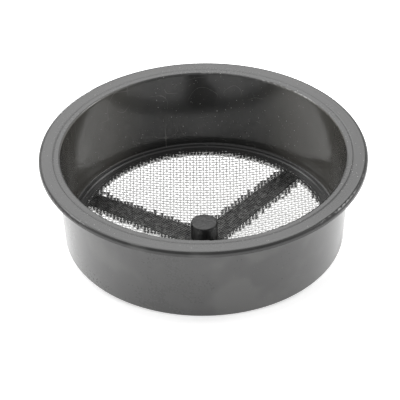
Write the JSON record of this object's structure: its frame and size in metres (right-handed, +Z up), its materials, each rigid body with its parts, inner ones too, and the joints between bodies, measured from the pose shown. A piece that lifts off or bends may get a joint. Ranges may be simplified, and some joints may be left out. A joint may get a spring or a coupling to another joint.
{
  "type": "strainer basket",
  "caption": "Round hanging strainer basket with a wide flat rim, a tapered wall and a shallow conical mesh bottom held by spokes and a centre peg.",
  "frame": {"origin": "centre of the hub's underside, the lowest point, on the basket's axis", "axes": "+Z up the basket's axis to the open mouth, -Y towards the viewer"},
  "size_m": [0.15, 0.15, 0.0518],
  "materials": {
    "black_plastic": "satin moulded black plastic with fine scratches and dust",
    "white_mesh": "plain woven white monofilament"
  },
  "bodies": {
    "root": {"basket_body": "black_plastic", "mesh_screen": "white_mesh"}
  },
  "joints": []
}
